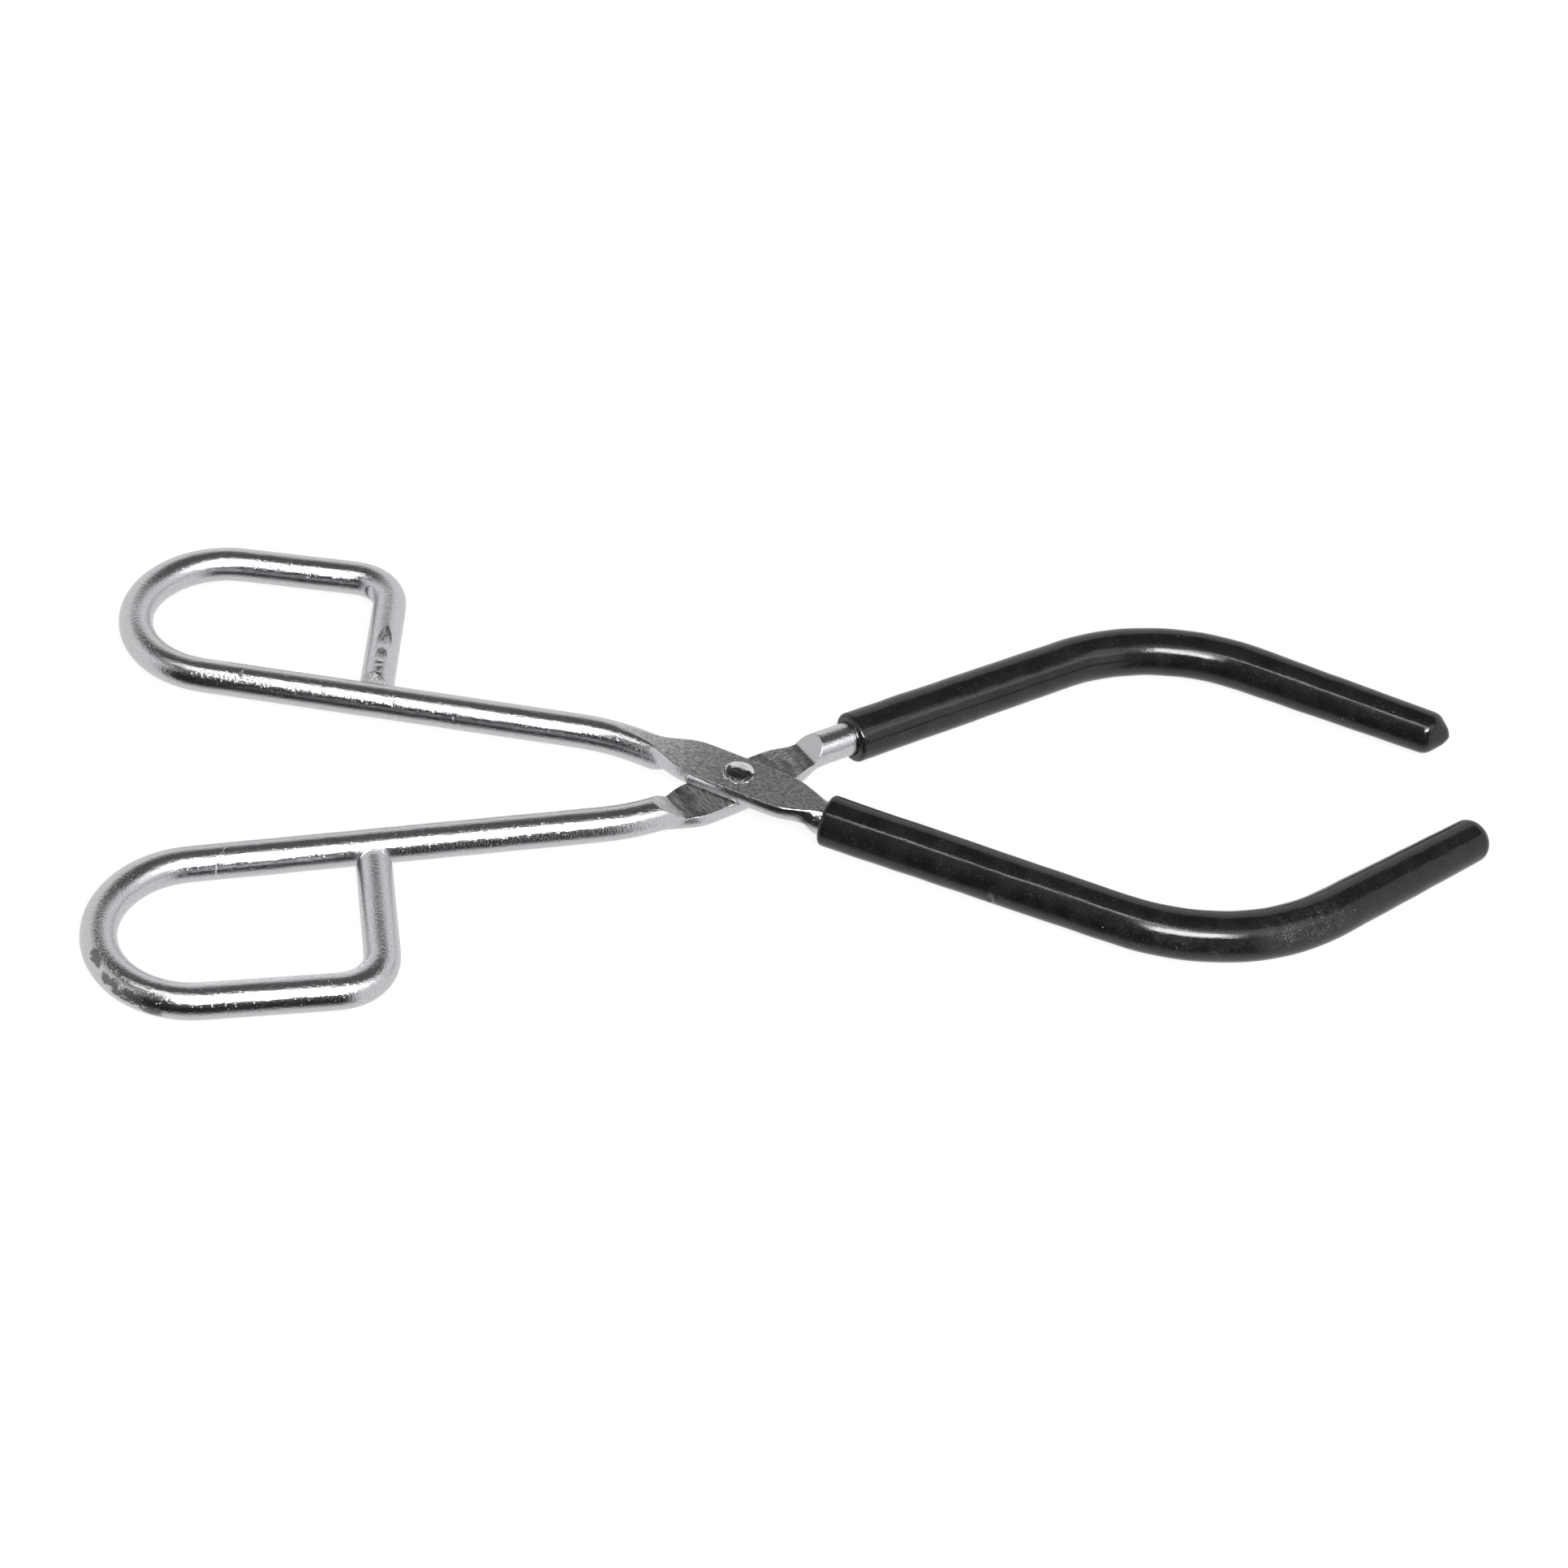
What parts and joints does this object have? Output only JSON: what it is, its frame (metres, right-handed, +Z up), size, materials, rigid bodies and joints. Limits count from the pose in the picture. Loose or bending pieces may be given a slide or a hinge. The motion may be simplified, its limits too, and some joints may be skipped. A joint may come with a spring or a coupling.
{
  "type": "jar lifter",
  "caption": "Scissor tongs of bent plated bar with D-shaped finger loops, a riveted half-lap pivot and black coated V jaws that grip a jar or beaker.",
  "frame": {"origin": "under the middle of the tongs' bounding box, on the table that they lie on", "axes": "+X along the tongs from the finger loops to the jaws, +Z up along the rivet, +Y towards the upper lever's finger loop"},
  "size_m": [0.254, 0.1242, 0.0096],
  "materials": {
    "plated_steel": "bright plating over drawn bar, slightly grainy, matt on the coined flats",
    "rivet_steel": "peened head, chipped plating",
    "jaw_coating": "glossy black dipped vinyl with fine dust and scuffs"
  },
  "bodies": {
    "lower_arm": {"lower_lever": "plated_steel", "lower_jaw_sleeve": "jaw_coating", "pivot_rivet": "rivet_steel"},
    "upper_arm": {"upper_lever": "plated_steel", "upper_jaw_sleeve": "jaw_coating"}
  },
  "joints": [
    {"name": "jaw_hinge", "type": "hinge", "parent": "lower_arm", "child": "upper_arm", "pos_m": [-0.01113, -0.00339, 0.00483], "axis": [0, 0, -1], "range_deg": [-8, 85]}
  ]
}
